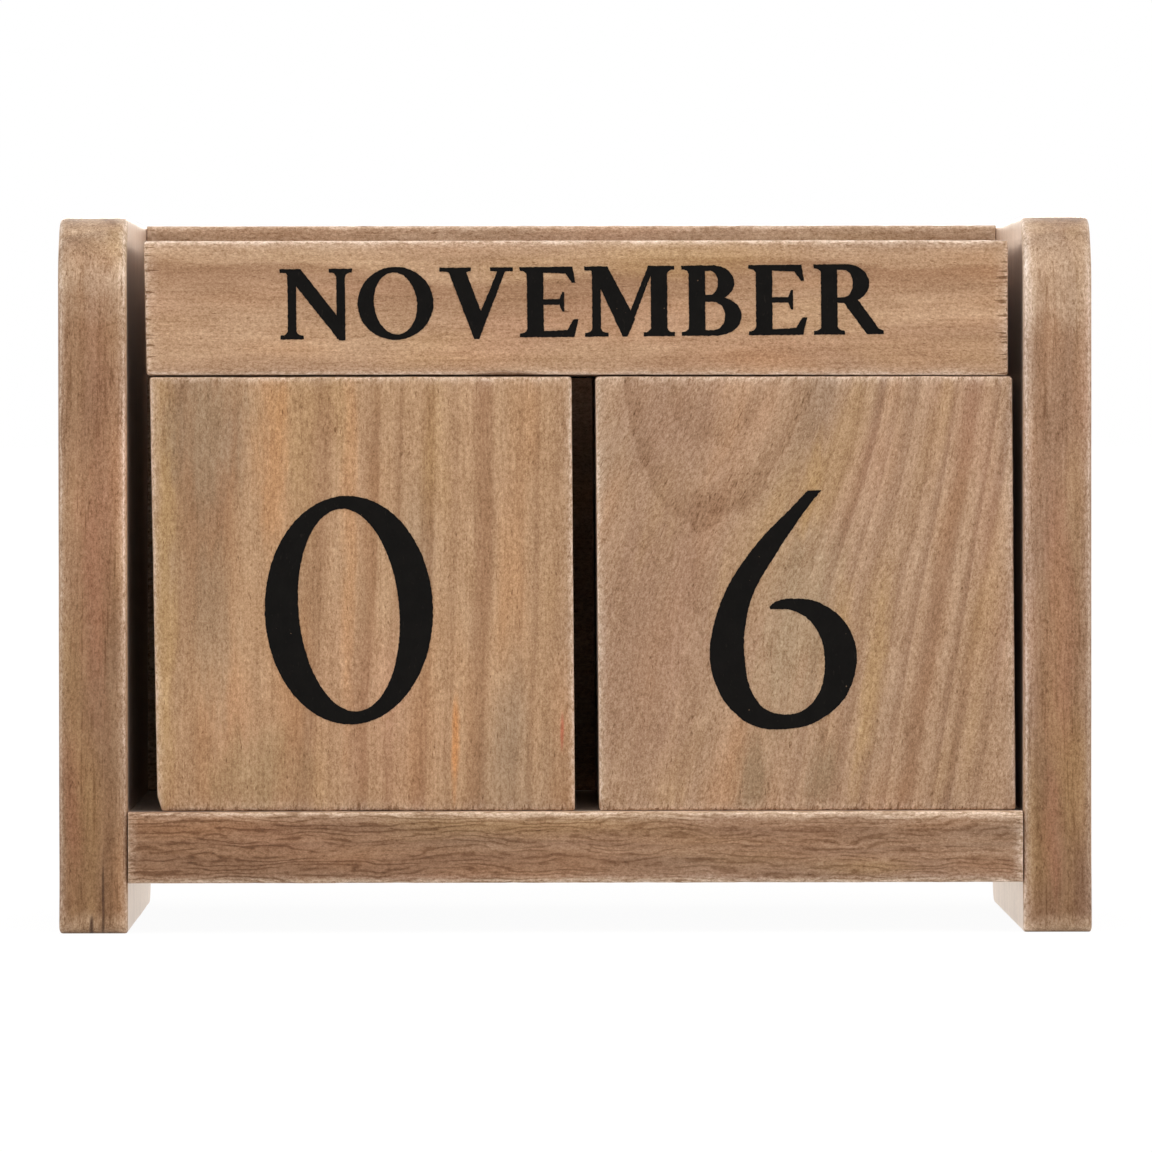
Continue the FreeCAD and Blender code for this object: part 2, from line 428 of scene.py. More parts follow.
def side_piece(node, material, seed):
    """A side board: an outline with four round corners, and eased rims, wider up the front."""
    low, high = node_box(node)
    ends = (low, high)
    inward = (1, -1)
    centres = [
        np.array((ends[rear][1] + inward[rear] * radius, ends[top][2] + inward[top] * radius))
        for radius, rear, top in SIDE_CORNERS
    ]
    points, faces = box_grid([
        grid_levels(low[0], high[0], SIDE_FRONT_RIM / 2),
        grid_levels(low[1], high[1], SIDE_RIM, [centre[0] for centre in centres]),
        grid_levels(low[2], high[2], SIDE_RIM, [centre[1] for centre in centres]),
    ])
    wear_and_highlight = 1 + SIDE_WEAR_SHARE * field(points, SIDE_WEAR_PITCH, seed)
    in_front = ramp(points[:, 1], low[1] + FRONT_RIM_REACH, low[1]) * ramp(points[:, 2], *FRONT_RIM_HEIGHTS)
    raised = ramp(points[:, 2], *FOOT_RIM_HEIGHTS)
    rim = SIDE_FOOT_RIM + (SIDE_RIM - SIDE_FOOT_RIM) * raised + (SIDE_FRONT_RIM - SIDE_RIM) * in_front
    rim = rim * np.clip(wear_and_highlight, *SIDE_WEAR_LIMITS)

    beside = np.minimum(points[:, 0] - low[0], high[0] - points[:, 0])
    gaps = np.stack([inward[end] * (points[:, axis] - ends[end][axis]) for axis in (1, 2) for end in (0, 1)])
    inset = gaps.min(axis=0)
    new_beside, new_inset = eased(beside, inset, rim)
    towards_low = points[:, 0] - low[0] < high[0] - points[:, 0]
    flat = points.copy()
    flat[:, 0] = np.where(towards_low, low[0] + new_beside, high[0] - new_beside)
    nearest = gaps.argmin(axis=0)
    for side, (axis, end) in enumerate(((1, 0), (1, 1), (2, 0), (2, 1))):
        chosen = nearest == side
        flat[chosen, axis] = ends[end][axis] + inward[end] * new_inset[chosen]
    for centre, (_, rear, top) in zip(centres, SIDE_CORNERS):
        outward = np.array((-inward[rear], -inward[top]))
        round_corner(flat, points, centre, outward, new_inset - inset)
    dip = surface_dip(flat, SIDE_SURFACE_PITCH, seed + 2)
    flat[:, 0] += np.where(towards_low, dip, -dip) * (beside < 0.01)
    # Pale edge mask: wear on the arrises and painted highlight along them
    edge = np.exp(-np.hypot(beside, inset) / EDGE_FADE) * np.clip(wear_and_highlight, *SIDE_TINT_LIMITS)
    wooden_piece(flat, faces, edge, node, "frame", material)


# Shader graphs

class Graph:
    """A material's node tree, with short calls that add a node and give back its output."""

    def __init__(self, name, world=None):
        self.material = world or bpy.data.materials.new(name)
        self.material.use_nodes = True
        self.tree = self.material.node_tree
        self.tree.nodes.clear()

    def join(self, value, socket):
        if isinstance(value, bpy.types.NodeSocket):
            self.tree.links.new(value, socket)
        else:
            socket.default_value = value

    def node(self, kind, settings=(), **inputs):
        """A node with these settings. An underscore in an input's name stands for a space."""
        made = self.tree.nodes.new(kind)
        for key, value in dict(settings).items():
            setattr(made, key, value)
        for key, value in inputs.items():
            self.join(value, made.inputs[key.replace("_", " ")])
        return made

    def fill(self, made, values):
        for value, socket in zip(values, made.inputs):
            self.join(value, socket)
        return made

    def math(self, operation, *values):
        return self.fill(self.node("ShaderNodeMath", {"operation": operation}), values).outputs[0]

    def times(self, first, second):
        return self.math("MULTIPLY", first, second)

    def vector(self, operation, *values):
        made = self.fill(self.node("ShaderNodeVectorMath", {"operation": operation}), values)
        return made.outputs["Value" if operation in ("LENGTH", "DOT_PRODUCT") else "Vector"]

    def place(self):
        """Coordinates on the piece in millimetres."""
        metres = self.node("ShaderNodeTexCoord").outputs["Object"]
        return self.vector("MULTIPLY", metres, (1 / MM,) * 3)

    def noise(self, vector, scale, detail=2, rough=0.5, offset=(0, 0, 0)):
        vector = self.vector("MULTIPLY", self.vector("ADD", vector, offset), scale)
        return self.node("ShaderNodeTexNoise", Vector=vector, Scale=1.0, Detail=detail, Roughness=rough)

    def pattern(self, vector, name):
        """The value of one of the named noises."""
        return self.noise(vector, *NOISES[name]).outputs["Fac"]

    def step(self, value, low, high, out_low=0.0, out_high=1.0):
        """A smooth change from one value to another as the input goes from low to high."""
        made = self.node(
            "ShaderNodeMapRange", {"interpolation_type": "SMOOTHSTEP"},
            Value=value, From_Min=low, From_Max=high, To_Min=out_low, To_Max=out_high,
        )
        return made.outputs[0]

    def mix(self, share, first, second, blend="MIX"):
        made = self.node("ShaderNodeMix", {"data_type": "RGBA", "blend_type": blend})
        colours = [socket for socket in made.inputs if socket.type == "RGBA"]
        self.join(share, made.inputs["Factor"])
        self.join(first, colours[0])
        self.join(second, colours[1])
        return next(socket for socket in made.outputs if socket.type == "RGBA")

    def mix_shaders(self, share, first, second):
        return self.fill(self.node("ShaderNodeMixShader"), (share, first.outputs[0], second.outputs[0]))

    def about(self, base, value, gain):
        """The base, raised where the noise value is over one half and lowered where it is under."""
        return self.math("ADD", base, self.math("MULTIPLY_ADD", value, gain, -gain / 2))

    def drift(self, vector, name, gain):
        """The colour of a named noise, as a vector from minus half the gain to plus half the gain."""
        colour = self.noise(vector, *NOISES[name]).outputs["Color"]
        return self.vector("MULTIPLY_ADD", colour, (gain,) * 3, (-gain / 2,) * 3)

    def less(self, tone, mask, depth):
        """The tone, darkened by the depth where the mask is one."""
        return self.times(tone, self.math("MULTIPLY_ADD", mask, -depth, 1.0))

    def warm(self, tone):
        """A tone as a colour that turns brown where it is dark."""
        powers = [self.math("POWER", tone, power) for power in WARMTH]
        return self.fill(self.node("ShaderNodeCombineColor"), powers).outputs[0]

    def finish(self, shader):
        self.node("ShaderNodeOutputMaterial", Surface=shader.outputs[0])
        return self.material


@dataclass
class Timber:
    """How one board was cut from its log, how its stain took, and where light is painted on it. Places are
    in millimetres.
    """

    grain: tuple
    pith: tuple
    ring: float
    light: tuple
    dark: tuple
    contrast: float = 0.5
    bend: float = 2.0
    early: float = 0.15  # the pale first share of each year
    arris: float = 0.8  # how pale the arrises are: wear and painted highlight
    speckle: float = 1.0
    streak: float = 0.25
    fibre: float = 0.4
    vein: float = 0.12
    patch: float = 0.3
    fade: tuple = None  # where the rings fade: axis, start, end, first and last strength
    sweep: tuple = None  # where the grain leans away from a branch: see swept
    cups: tuple = ()  # bands round a branch: direction, place, radius, fade and depth
    tints: tuple = ()  # centre, size across, across and along the grain, colour and share; some are painted light
    tone_ramps_and_painted_light: tuple = ()  # axis, start, end, first and last tone; on the side boards some are painted highlight
    torn: tuple = ()  # axis, level, reach, depth and marks per millimetre
    waves: tuple = None  # start, end, depth, and the share of it that is left at the end
    seed: float = 0


def upright(grain):
    """The turn that lays the grain along the third axis."""
    return Vector(grain).normalized().rotation_difference(Vector((0, 0, 1)))


def log_frame(graph, place, grain, pith):
    """Coordinates in millimetres with their third axis along the heart of a log or branch."""
    turn = upright(grain)
    heart = turn @ Vector(pith)
    mapping = graph.node("ShaderNodeMapping", Vector=place, Rotation=turn.to_euler(), Location=-heart)
    return mapping.outputs[0]


def swept(graph, log, split, foot, head, near, far, push):
    """Coordinates pushed sideways towards the head of a block, less and less from near to far."""
    rise = graph.step(split.outputs[2], foot, head)
    reach = graph.step(split.outputs[0], near, far, -push, 0.0)
    sideways = graph.node("ShaderNodeCombineXYZ", X=graph.times(rise, reach))
    return graph.vector("ADD", log, sideways.outputs[0])


def ring_pattern(graph, log, timber):
    """The share of dark late wood at each place, from 0 to 1."""
    shift = graph.vector("ADD", log, tuple(timber.seed * reach for reach in RING_SHIFT))
    wide = graph.drift(shift, "bend", timber.bend * BEND_GAIN)
    fine = graph.drift(shift, "kink", timber.bend * KINK_GAIN)
    bent = graph.vector("ADD", graph.vector("ADD", log, wide), fine)
    radius = graph.vector("LENGTH", graph.vector("MULTIPLY", bent, (1, 1, 0)))
    years = graph.math("DIVIDE", radius, timber.ring)
    line = {"noise_dimensions": "1D"}
    pace = graph.node("ShaderNodeTexNoise", line, W=graph.times(years, PACE_PITCH), Scale=1.0, Detail=1.0)
    years = graph.math("ADD", years, graph.times(pace.outputs[0], PACE_GAIN))
    part = graph.math("FRACT", years)
    rise = graph.step(part, timber.early, LATE_FULL)
    fall = graph.step(part, *LATE_END, 1.0, 0.0)
    year = graph.node("ShaderNodeTexWhiteNoise", line, W=graph.math("FLOOR", years))
    least, more = RING_STRENGTH
    strength = graph.math("MULTIPLY_ADD", year.outputs[0], more, least)
    return graph.times(graph.times(rise, fall), strength)


def stain(graph, log, shift, late, timber):
    """The wood's colour: rings, drifting hues, and the tints that this board was given, some of them painted
    light.
    """
    noises = {name: graph.pattern(shift, name) for name in ("hue", "cool")}
    colour = graph.mix(graph.times(late, timber.contrast), timber.light, timber.dark)
    for name, start, full, share, tint in DRIFTS:
        colour = graph.mix(graph.step(noises[name], start, full, 0.0, share), colour, tint)
    ragged = graph.drift(log, "ragged", RAGGED_GAIN)
    # Tints: stains, knots and rust, and on some boards painted highlights and lit patches
    for centre, size, tint, share in timber.tints:
        middle = upright(timber.grain) @ (Vector(centre) - Vector(timber.pith))
        offset = graph.vector("SUBTRACT", log, middle)
        offset = graph.vector("MULTIPLY", offset, tuple(1 / reach for reach in size))
        away = graph.vector("LENGTH", graph.vector("ADD", offset, ragged))
        spot = graph.step(away, 0.2, 1.0, 1.0, 0.0)
        colour = graph.mix(graph.times(spot, share), colour, tint)
    return colour


def cup_tone(graph, place, wander, dashes, grain, pith, radius, fade, share):
    """A dark band round the heart of a branch: soft inside, with a firm outer border."""
    log = graph.vector("ADD", log_frame(graph, place, grain, pith), wander)
    away = graph.vector("LENGTH", graph.vector("MULTIPLY", log, (1, 1, 0)))
    inner = graph.step(away, radius - fade, radius)
    outer = graph.step(away, radius, radius + CUP_BORDER, 1.0, 0.0)
    depth = graph.step(dashes, *CUP_DASHES, share, share * CUP_DASH_GAIN)
    return graph.math("SUBTRACT", 1.0, graph.times(graph.times(inner, outer), depth))


def wavy_tone(graph, place, split, start, end, share, last):
    """Dark wavy lines along a board, close together, fading from one end to the other."""
    drift = graph.math("MULTIPLY_ADD", graph.pattern(place, "wave"), WAVE_GAIN, split.outputs[2])
    turns = graph.math("FRACT", graph.math("DIVIDE", drift, WAVE_SPACING))
    beat = graph.math("ABSOLUTE", graph.math("SUBTRACT", turns, 0.5))
    line = graph.step(beat, *WAVE_LINE, 1.0, 0.0)
    broken = graph.step(graph.pattern(place, "wave_break"), *WAVE_BREAKS)
    depth = graph.step(split.outputs[0], start, end, share, share * last)
    return graph.math("SUBTRACT", 1.0, graph.times(graph.times(line, broken), depth))


def torn_fibres(graph, shift, split, axis, level, reach, pitch):
    """Short marks that the saw left along one end of a block."""
    fibres = graph.noise(shift, (pitch, pitch, TORN_RUN)).outputs["Fac"]
    length = graph.step(fibres, *TORN_LENGTHS, 0.0, reach)
    away = graph.math("ABSOLUTE", graph.math("SUBTRACT", split.outputs[axis], level))
    return graph.step(graph.math("SUBTRACT", length, away), 0.0, TORN_EDGE)


def wood_tone(graph, place, shift, split, noises, timber):
    """How light the wood is: its noises, veins and dashes, the marks that this board was given, and its tone
    ramps, some of them painted highlight.
    """
    gains = {"streak": timber.streak, "patch": timber.patch, "fibre": timber.fibre}
    gains.update({name: gain * timber.speckle for name, gain in SPECKLE_GAINS.items()})
    tone = 1.0
    for name in ("streak", "patch", "blotch", "fibre", "fleck", "grit"):
        tone = graph.about(tone, noises[name], gains[name])
    tone = graph.less(tone, graph.step(noises["vein"], *VEINS), timber.vein)
    tone = graph.less(tone, graph.step(noises["dash"], *DASHES), DASH_DEPTH)
    # Tone ramps along an axis; on the side boards some are painted highlight on the top and the edges
    for axis, start, end, first, last in timber.tone_ramps_and_painted_light:
        tone = graph.times(tone, graph.step(split.outputs[axis], start, end, first, last))
    for axis, level, reach, depth, pitch in timber.torn:
        tone = graph.less(tone, torn_fibres(graph, shift, split, axis, level, reach, pitch), depth)
    wander = graph.drift(place, "wander", CUP_WANDER)
    for cup in timber.cups:
        tone = graph.times(tone, cup_tone(graph, place, wander, noises["dash"], *cup))
    if timber.waves:
        tone = graph.times(tone, wavy_tone(graph, place, split, *timber.waves))
    return tone


def wood_bump(graph, late, noises):
    """A fine relief: raised grain and late wood, with the dashes as pits."""
    height = graph.about(graph.about(noises["fleck"], noises["streak"], 0.8), noises["fibre"], 0.6)
    height = graph.math("SUBTRACT", height, graph.times(graph.step(noises["dash"], *DASHES), 0.5))
    height = graph.math("ADD", height, graph.times(late, 0.4))
    return graph.node("ShaderNodeBump", Height=height, Strength=0.35, Distance=0.12 * MM).outputs[0]


def wood(name, timber):
    """Sanded, stained softwood, with pale arrises (wear and painted highlight), painted light in some tints
    and ramps, darker end grain and a satin gloss at a low angle.
    """
    graph = Graph(name)
    place = graph.place()
    log = log_frame(graph, place, timber.grain, timber.pith)
    split = graph.node("ShaderNodeSeparateXYZ", Vector=place)
    flow = swept(graph, log, split, *timber.sweep) if timber.sweep else log
    late = ring_pattern(graph, flow, timber)
    if timber.fade:
        axis, start, end, first, last = timber.fade
        late = graph.times(late, graph.step(split.outputs[axis], start, end, first, last))
    shift = graph.vector("ADD", flow, tuple(timber.seed * reach for reach in TONE_SHIFT))
    names = ("streak", "patch", "blotch", "fibre", "fleck", "grit", "dash", "vein")
    noises = {noise_name: graph.pattern(shift, noise_name) for noise_name in names}

    colour = stain(graph, log, shift, late, timber)
    edge = graph.node("ShaderNodeAttribute", {"attribute_name": "edge"}).outputs["Fac"]
    # Pale arrises: wear, and painted highlight along the edges
    wear_and_highlight = graph.times(edge, graph.step(noises["fleck"], *WEAR_AND_HIGHLIGHT_FLECKS, 0.4, 1.0))
    colour = graph.mix(graph.times(wear_and_highlight, timber.arris), colour, EDGE_WEAR_AND_HIGHLIGHT)
    tone = wood_tone(graph, place, shift, split, noises, timber)
    normal = graph.node("ShaderNodeTexCoord").outputs["Normal"]
    grain = Vector(timber.grain).normalized()
    along = graph.math("ABSOLUTE", graph.vector("DOT_PRODUCT", normal, tuple(grain)))
    tone = graph.times(tone, graph.step(along, *END_GRAIN, 1.0, END_GRAIN_TONE))
    colour = graph.mix(1.0, colour, graph.warm(tone), "MULTIPLY")

    shader = graph.node(
        "ShaderNodeBsdfPrincipled", Base_Color=colour, Normal=wood_bump(graph, late, noises),
        Roughness=graph.step(noises["fleck"], 0.3, 0.7, *WOOD_ROUGHNESS),
        Specular_IOR_Level=0.25, Sheen_Weight=0.1, Sheen_Roughness=0.5,
    )
    sheen = graph.mix(SATIN_TINT, colour, SATIN_COLOUR)
    satin = graph.node("ShaderNodeBsdfGlossy", Color=sheen, Roughness=SATIN_ROUGHNESS)
    facing = graph.node("ShaderNodeLayerWeight").outputs["Facing"]
    share = graph.step(facing, *SATIN_FACING, 0.0, SATIN_SHARE)
    return graph.finish(graph.mix_shaders(share, shader, satin))


def ink_material():
    """Matt black stamp ink with a few pinholes where the wood shows through."""
    graph = Graph("ink")
    place = graph.place()
    grain = graph.pattern(place, "ink_grain")
    holes = graph.step(graph.pattern(place, "ink_hole"), 0.765, 0.79, 0.0, 0.8)
    colour = graph.mix(graph.pattern(place, "ink_cloud"), srgb(12, 11, 10), srgb(22, 20, 18))
    colour = graph.mix(graph.step(grain, 0.6, 0.8, 0.0, 0.35), colour, srgb(46, 41, 37))
    colour = graph.mix(holes, colour, srgb(120, 98, 78))
    bump = graph.node("ShaderNodeBump", Height=grain, Strength=0.3, Distance=0.06 * MM)
    return graph.finish(graph.node(
        "ShaderNodeBsdfPrincipled", Base_Color=colour, Normal=bump.outputs[0],
        Roughness=graph.step(grain, 0.3, 0.7, *INK_ROUGHNESS), Specular_IOR_Level=0.05,
    ))


# Lettering: every part of a letter is an outline, some with a hole, in hundredths of the cap height
BOLD = 23.5
THIN = 12.5
HAIR = 8
SERIF = 5.5
SERIF_REACH = 11
SERIF_TAPER = 0.97
SERIF_STEPS = 5
SERIF_OVERLAP = 0.4
BRACKET = 15
LETTER_GAP = 8.5
HEIGHT = 100
BOWL_FLAT = 0.45
CURVE_STEPS = 9
ROUND_STEPS = 72
MERGE_REACH = 1e-5


def curve_through(points):
    """Evenly stepped points on a smooth line through the given ones."""
    ends = [2 * points[0] - points[1], *points, 2 * points[-1] - points[-2]]
    line = []
    for before, first, second, after in zip(ends, ends[1:], ends[2:], ends[3:]):
        for step in range(CURVE_STEPS):
            t = step / CURVE_STEPS
            line.append(0.5 * (2 * first + (second - before) * t
                               + (2 * before - 5 * first + 4 * second - after) * t**2
                               + (3 * first - before - 3 * second + after) * t**3))
    return line + [points[-1]]


def stroke(*knots):
    """A pen stroke through knots of x, y and width, as a chain of four-sided outlines."""
    line = np.array(curve_through([np.array(knot, float) for knot in knots]))
    places = line[:, :2]
    ahead = np.gradient(places, axis=0)
    ahead /= np.maximum(np.linalg.norm(ahead, axis=1, keepdims=True), TINY)
    side = np.stack((-ahead[:, 1], ahead[:, 0]), axis=1) * line[:, 2:] / 2
    left, right = places + side, places - side
    return [((left[i], right[i], right[i + 1], left[i + 1]), None) for i in range(len(line) - 1)]


def oval(centre, radii, turn=0.0):
    """The outline of an ellipse, turned by an angle in degrees."""
    angle = math.radians(turn)
    points = []
    for index in range(ROUND_STEPS):
        t = 2 * math.pi * index / ROUND_STEPS
        x, y = radii[0] * math.cos(t), radii[1] * math.sin(t)
        points.append((
            centre[0] + x * math.cos(angle) - y * math.sin(angle),
            centre[1] + x * math.sin(angle) + y * math.cos(angle),
        ))
    return points


def limb(*points):
    """A straight-sided part."""
    return [(points, None)]


def bar(left, right, foot, top):
    """An upright rectangle."""
    return limb((left, foot), (right, foot), (right, top), (left, top))


def serifs(*places):
    """Half serifs: x of the stem's edge, y, reach out from it, and rise from a foot or fall from a head."""
    shapes = []
    for x, y, reach, rise in places:
        thick = math.copysign(SERIF, rise)
        points = [(x, y), (x + reach, y), (x + reach * SERIF_TAPER, y + thick)]
        for step in range(1, SERIF_STEPS + 1):
            t = step / SERIF_STEPS
            points.append((x + reach * SERIF_TAPER * (1 - t) ** 2, y + thick + (rise - thick) * t**2))
        shapes.append((points, None))
    return shapes


def stem(x, width, foot=(1, 1), head=(1, 1)):
    """An upright with the serifs asked for: left and right, at the foot and the head."""
    shapes = bar(x, x + width, 0, HEIGHT)
    for y, rise, (left, right) in ((0, BRACKET, foot), (HEIGHT, -BRACKET, head)):
        if left:
            shapes += serifs((x + SERIF_OVERLAP, y, -SERIF_REACH, rise))
        if right:
            shapes += serifs((x + width - SERIF_OVERLAP, y, SERIF_REACH, rise))
    return shapes


def half_round(left, flat, right, foot, top):
    """A D-shaped outline: straight as far as flat, then half an ellipse."""
    points = [(left, top), (left, foot)]
    for index in range(ROUND_STEPS // 2 + 1):
        t = math.pi * (index / (ROUND_STEPS // 2) - 0.5)
        x = flat + (right - flat) * math.cos(t)
        points.append((x, (foot + top) / 2 + (top - foot) / 2 * math.sin(t)))
    return points


def bowl(left, right, foot, top):
    """The round side of a B, D, P or R, from a stem out to the right and back."""
    flat = left + (right - left) * BOWL_FLAT
    outer = half_round(left, flat, right, foot, top)
    return [(outer, half_round(left, flat - 4, right - BOLD, foot + HAIR, top - HAIR))]


def open_round(*tail):
    """A C or G from its beak round to its foot, ending through the knots of its tail."""
    over = ((84, 78, 5), (72, 93, 10), (52, 97.5, 9), (24, 82, 19))
    under = ((12.5, 50, BOLD), (24, 17, 19), (54, 2.5, 9))
    return stroke(*over, *under, *tail) + limb((78, 100), (84, 100), (85.5, 68), (82, 68), (72, 90))


def arm(left, right, y, drop, lean=4):
    """A horizontal arm at the head or foot of a letter, ending in a wedge. Drop is signed."""
    thick = math.copysign(HAIR, drop)
    wedge = ((right + lean, y + drop), (right - 1, y + drop), (right - 10, y + thick * 1.25))
    return limb((left, y), (right, y), *wedge, (left, y + thick))


def middle_arm(left, right):
    """The short middle arm of an E or F, ending in a wedge both ways."""
    foot, top = (HEIGHT - HAIR) / 2, (HEIGHT + HAIR) / 2
    below = ((right - 7, foot), (right - 3, 36), (right, 36))
    above = ((right, 64), (right - 3, 64), (right - 7, top))
    return limb((left, foot), *below, *above, (left, top))


# Letters: their widths and parts, in hundredths of the cap height
LETTERS = {
    "A": (108, limb((47, 102), (58, 102), (97, 0), (72, 0)) + limb((47, 102), (55, 84), (20, 0), (10, 0))
        + limb((25, 32), (75, 32), (72, 40), (28, 40))
        + serifs((14, 0, -14, 10), (17, 0, 14, 10), (74, 0, -10, 10), (92, 0, 16, 10))),
    "B": (87, stem(11, BOLD, (1, 0), (1, 0)) + bowl(20, 76, 50, 100) + bowl(20, 86, 0, 56)),
    "C": (90, open_round((76, 8, 8), (88, 20, 4))),
    "D": (104, stem(11, BOLD, (1, 0), (1, 0)) + bowl(20, 103, 0, 100)),
    "E": (84, stem(11, BOLD, (1, 0), (1, 0)) + arm(20, 76, 100, -23) + middle_arm(20, 64)
        + arm(20, 78, 0, 25, 6)),
    "F": (80, stem(11, BOLD, (1, 1), (1, 0)) + arm(20, 74, 100, -23) + middle_arm(20, 62)),
    "G": (100, open_round((80, 9, 10)) + limb((67, 5), (90, 10), (90, 42), (67, 42))
        + bar(58, 100, 38, 44)),
    "H": (119, stem(11, BOLD) + stem(84.5, BOLD) + bar(30, 88, 46, 55)),
    "I": (46, stem(11, BOLD)),
    "J": (50, stem(16, BOLD, (0, 0), (1, 1))
        + stroke((27.7, 10, BOLD), (25, -8, 17), (14, -18, 9), (3, -17, 10))),
    "L": (80, stem(11, BOLD, (1, 0), (1, 1)) + arm(20, 74, 0, 26, 6)),
    "M": (129, stem(11, THIN, (1, 1), (0, 0))
        + limb((4, 100), (33, 100), (72, 25), (61, 0), (54, 0), (10, 98))
        + limb((91, 100), (100, 100), (61, 0), (55, 10)) + stem(94.5, BOLD, (1, 1), (0, 1))
        + serifs((15, 100, -15, -8))),
    "N": (102, stem(11, THIN, (1, 1), (0, 0)) + limb((4, 100), (30, 100), (93, 18), (93, -2), (84, -2))
        + stem(80.5, THIN, (0, 0), (1, 1)) + serifs((15, 100, -15, -8))),
    "O": (108, [(oval((54, 50), (54, 52), 2), oval((54, 50), (54 - BOLD, 52 - HAIR), 6))]),
    "P": (82, stem(11, BOLD, (1, 1), (1, 0)) + bowl(20, 81, 42, 100)),
    "R": (98, stem(11, BOLD, (1, 1), (1, 0)) + bowl(20, 80, 45, 100)
        + limb((40, 50), (62, 52), (93, 8), (100, 5), (100, 0), (76, 0))),
    "S": (72, stroke((61, 76, 4), (52, 93, 9), (36, 96.5, 10), (16, 84, 15), (17, 66, 20), (40, 50, 24),
            (58, 34, 21), (58, 14, 16), (36, 3.5, 10), (18, 8, 9), (6, 26, 4))
        + limb((57, 100), (61, 100), (63, 70), (60, 70), (50, 90))
        + limb((5, 0), (9, 0), (17, 12), (7, 30), (4, 30))),
    "T": (90, stem(33.25, BOLD, (1, 1), (0, 0)) + arm(45, 85, 100, -25)
        + limb((45, 100), (5, 100), (1, 75), (6, 75), (15, 90), (45, 92))),
    "U": (102, bar(11, 34.5, 30, 100) + serifs((11.4, 100, -11, -BRACKET), (34.1, 100, 11, -BRACKET))
        + bar(80, 91, 34, 100) + serifs((80.4, 100, -11, -BRACKET), (90.6, 100, 11, -BRACKET))
        + stroke((22.75, 36, BOLD), (24.5, 20, 21), (34, 8, 15), (54, 3, 10), (74, 9, 10), (84, 24, 11),
            (85.5, 40, 11))),
    "V": (105, limb((11, 100), (36, 100), (61, 32), (56, -2), (49, -2))
        + limb((85, 100), (96, 100), (56, -2), (50, 5), (57, 34))
        + serifs((15.5, 100, -15.5, -9), (35, 100, 10, -12), (87, 100, -15, -9), (91.5, 100, 13.5, -8))),
    "Y": (98, limb((11, 100), (36, 100), (60, 50), (60, 30), (37, 40))
        + limb((79, 100), (90, 100), (60, 42), (50, 42)) + limb((37, 0), (60.5, 0), (60.5, 46), (37, 42))
        + serifs((37.4, 0, -11, BRACKET), (60.1, 0, 11, BRACKET), (15.5, 100, -15.5, -8),
            (35, 100, 10, -12), (81, 100, -13, -9), (85, 100, 14, -7))),
}

# Numbers, in hundredths of their own height
NUMBERS = {
    "0": (74.3, [(oval((37.1, 50), (36.8, 50), 1.5), oval((37.1, 50), (22, 44.4), 5))]),
    "1": (46, limb((16, 0), (31, 0), (31, 100), (27, 100), (16, 93))
        + serifs((16.3, 0, -12, 8), (30.7, 0, 12, 8))
        + limb((20, 93), (29, 100), (2, 87), (2, 83), (16, 85))),
    "2": (62, stroke((5, 76, 4), (12, 89, 7), (28, 95.5, 8.5), (44, 86, 14), (45, 68, 14.5), (34, 45, 10),
            (19, 23, 7.5), (8, 7, 6))
        + limb((3, 0), (54, 0), (61, 21), (57, 21), (50, 11.5), (12, 11.5), (3, 5))),
    "3": (58, stroke((6, 82, 4), (14, 92, 7), (28, 96, 8), (43, 86, 13), (42, 68, 13), (30, 57, 6),
            (20, 54, 4))
        + stroke((20, 54, 4), (34, 55, 6), (48, 44, 13), (49, 24, 15), (36, 8, 10), (20, 3.5, 7),
            (4, 10, 6))),
    "4": (64, limb((35, 0), (49, 0), (49, 100), (43, 100), (35, 90))
        + limb((43, 100), (37, 84), (9, 34), (2, 34)) + bar(2, 63, 25, 34)
        + serifs((35.3, 0, -10, 8), (48.7, 0, 10, 8))),
    "5": (58, limb((14, 87), (50, 87), (54, 100), (14, 100))
        + limb((14, 100), (18.5, 90), (15, 56), (9, 52))
        + stroke((10, 53, 5), (20, 60, 6), (36, 58, 10), (49, 44, 14), (50, 26, 15), (38, 9, 10),
            (20, 3.5, 7), (4, 10, 6))),
    "6": (61.7, stroke((42.4, 98.5, 4.3), (35.7, 90.5, 5.5), (24.5, 76.8, 8.8), (13.3, 59.4, 10.8),
            (8, 42.6, 13.2), (7.3, 28.3, 14.5), (11.1, 15.1, 12.2), (19.5, 5.75, 8.8), (30.9, 3.2, 6.2),
            (42.3, 6.1, 7), (51.5, 15.7, 10.8), (54.6, 29.5, 13.5), (51.6, 41.2, 12.2), (43.5, 49.4, 8.5),
            (34.5, 52.3, 5), (28.5, 52, 3.6), (25, 50.8, 1.2))
        + limb((40.7, 99.8), (44.1, 97.1), (46.6, 100))),
    "7": (60, limb((4, 80), (7, 80), (13, 88), (50, 88), (58, 100), (6, 100))
        + stroke((53.5, 95, 8), (40, 66, 9), (28, 34, 12), (24, 0, 14))),
    "8": (64, [(oval((32, 73.5), (25, 26.5)), oval((33, 73.5), (14, 20.5), 8)),
        (oval((32, 27), (29.5, 27)), oval((31, 27), (16.5, 20), 8))]),
}


def dense(outline):
    """The outline run anticlockwise, with points added so that no side is longer than the ink's step."""
    corners = [np.array(corner, float) for corner in outline]
    following = corners[1:] + corners[:1]
    area = sum(start[0] * end[1] - start[1] * end[0] for start, end in zip(corners, following))
    if area < 0:
        corners.reverse()
        following = corners[1:] + corners[:1]
    points = []
    for start, end in zip(corners, following):
        count = max(1, math.ceil(np.linalg.norm(end - start) / INK_STEP))
        points += [start + (end - start) * index / count for index in range(count)]
    return points


